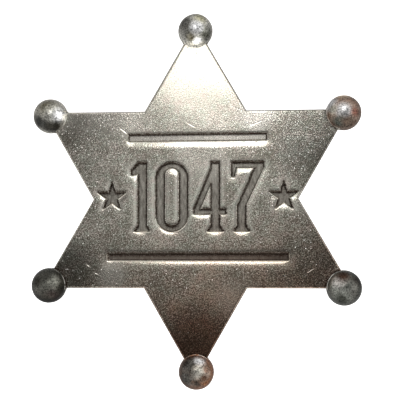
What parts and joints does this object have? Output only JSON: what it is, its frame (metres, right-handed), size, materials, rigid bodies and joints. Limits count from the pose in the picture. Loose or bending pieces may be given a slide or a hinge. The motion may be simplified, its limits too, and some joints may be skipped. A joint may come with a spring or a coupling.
{
  "type": "sheriff star badge",
  "caption": "Flat six-pointed star badge with a ball on each point, struck bars and plain figures on its face, and a brooch pin on its back.",
  "frame": {"origin": "centre of the star, on the level that the six balls rest on", "axes": "+Z out of the badge's face, +Y towards the top point, +X to the right of the face"},
  "size_m": [0.0642, 0.073, 0.0068],
  "materials": {
    "struck_plate": "antique nickel on a struck plate: grainy, warm grey, with darkened recesses",
    "polished_ball": "worn nickel, smoother than the plate, with brown tarnish where it has rubbed through",
    "pin_steel": "plain plated steel, satin"
  },
  "bodies": {
    "root": {"star_plate": "struck_plate", "ball_tip_upper_right": "polished_ball", "ball_tip_top": "polished_ball", "ball_tip_upper_left": "polished_ball", "ball_tip_lower_left": "polished_ball", "ball_tip_bottom": "polished_ball", "ball_tip_lower_right": "polished_ball", "brooch_pin": "pin_steel"}
  },
  "joints": []
}
